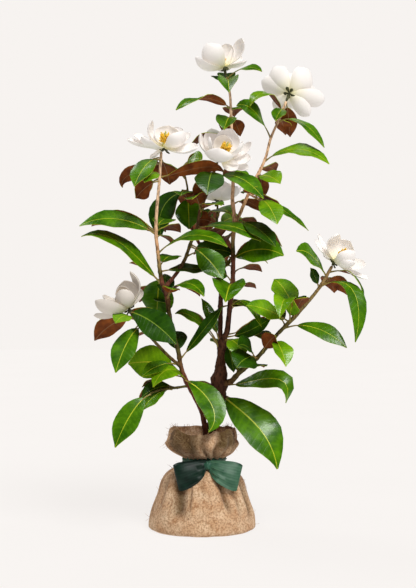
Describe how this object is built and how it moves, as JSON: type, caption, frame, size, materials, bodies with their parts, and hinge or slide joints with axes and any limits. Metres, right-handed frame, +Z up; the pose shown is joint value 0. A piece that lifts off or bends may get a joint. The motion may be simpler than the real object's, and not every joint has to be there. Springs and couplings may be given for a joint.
{
  "type": "potted magnolia tree",
  "caption": "Young evergreen magnolia in flower with open, glossy foliage on thin stems, standing on its root ball in a burlap sack tied with a ribbon bow.",
  "frame": {"origin": "centre of the sack's flat underside", "axes": "+Z up along the stems, -Y towards the front, where the bow is tied, +X to the right as seen from the front"},
  "size_m": [0.5039, 0.3051, 0.8803],
  "materials": {
    "burlap": "coarse woven burlap, matte",
    "satin": "dark green ribbon with a soft sheen",
    "bark_old": "rough dark brown bark",
    "bark_young": "smooth tan and brown young bark",
    "petal": "creamy white, waxy petals",
    "leaf": "leathery leaves, glossy green above and russet below"
  },
  "bodies": {
    "root": {"sack": "burlap", "ribbon_band": "satin", "bow_knot": "satin", "bow_loop_left": "satin", "bow_loop_right": "satin", "trunk": "bark_old", "stem_left": "bark_old", "leader_left": "bark_young", "leader_centre": "bark_young", "leader_main": "bark_young", "branch_back": "bark_old", "twig_back": "bark_old", "leader_right": "bark_young", "twig_right": "bark_young", "bough_right": "bark_young", "bough_left": "bark_young", "twig_low": "bark_young", "bloom_top": "petal", "bloom_right_top": "petal", "bloom_left_top": "petal", "bloom_centre": "petal", "bloom_back": "petal", "bloom_right": "petal", "bloom_left": "petal", "leaves_top": "leaf", "leaves_top_low": "leaf", "leaves_right_top": "leaf", "leaves_right_mid": "leaf", "leaves_left_top": "leaf", "leaves_left_high": "leaf", "leaves_left_mid": "leaf", "leaves_left_low": "leaf", "leaves_fork": "leaf", "leaves_centre_top": "leaf", "leaves_centre_high": "leaf", "leaves_centre_mid": "leaf", "leaves_back_top": "leaf", "leaves_back_high": "leaf", "leaves_crown_right": "leaf", "leaves_twig_right": "leaf", "leaves_trunk_high": "leaf", "leaves_trunk_mid": "leaf", "leaves_trunk_low": "leaf", "leaves_trunk_left": "leaf", "leaves_stem": "leaf", "leaves_foot_left": "leaf", "leaves_foot_front": "leaf", "leaves_foot_right": "leaf", "leaves_bough_right_root": "leaf", "leaves_bough_right_low": "leaf", "leaves_bough_right_mid": "leaf", "leaves_bough_right_tip": "leaf", "leaves_bough_left_tip": "leaf"}
  },
  "joints": []
}
